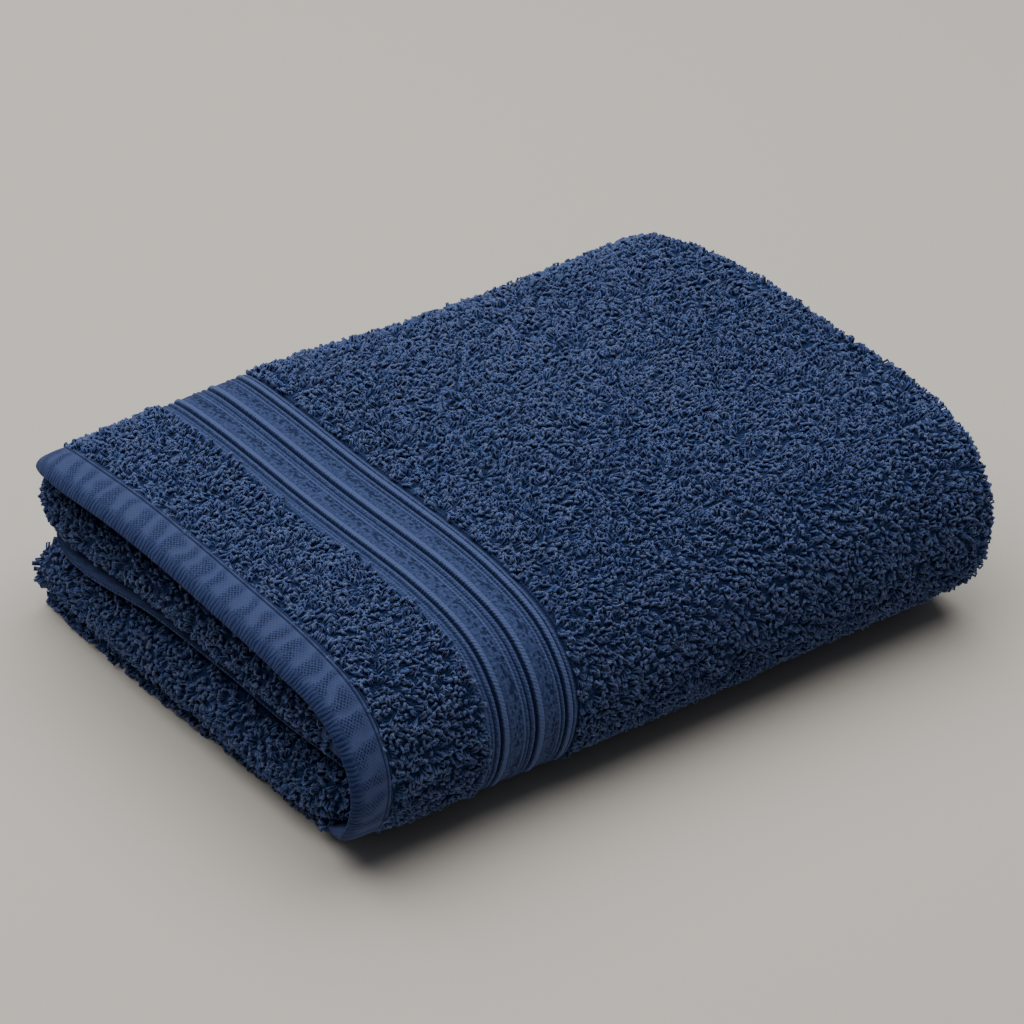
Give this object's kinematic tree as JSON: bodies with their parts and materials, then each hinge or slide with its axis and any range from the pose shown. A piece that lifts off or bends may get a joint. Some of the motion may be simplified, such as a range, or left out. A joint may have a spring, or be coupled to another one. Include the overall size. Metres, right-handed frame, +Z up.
{
  "type": "folded bath towel",
  "caption": "Navy cotton terry bath towel, folded in layers and then in thirds, with a turned flat hem and a woven border of cords and bands.",
  "frame": {"origin": "middle of the bounding box, on the surface that the folded towel lies on", "axes": "+X from the hem's edge to the folded end, +Y from the front fold to the back, +Z up"},
  "size_m": [0.3274, 0.2438, 0.091],
  "materials": {
    "terry": "matte looped cotton"
  },
  "bodies": {
    "root": {"towel_cloth": "terry"}
  },
  "joints": []
}
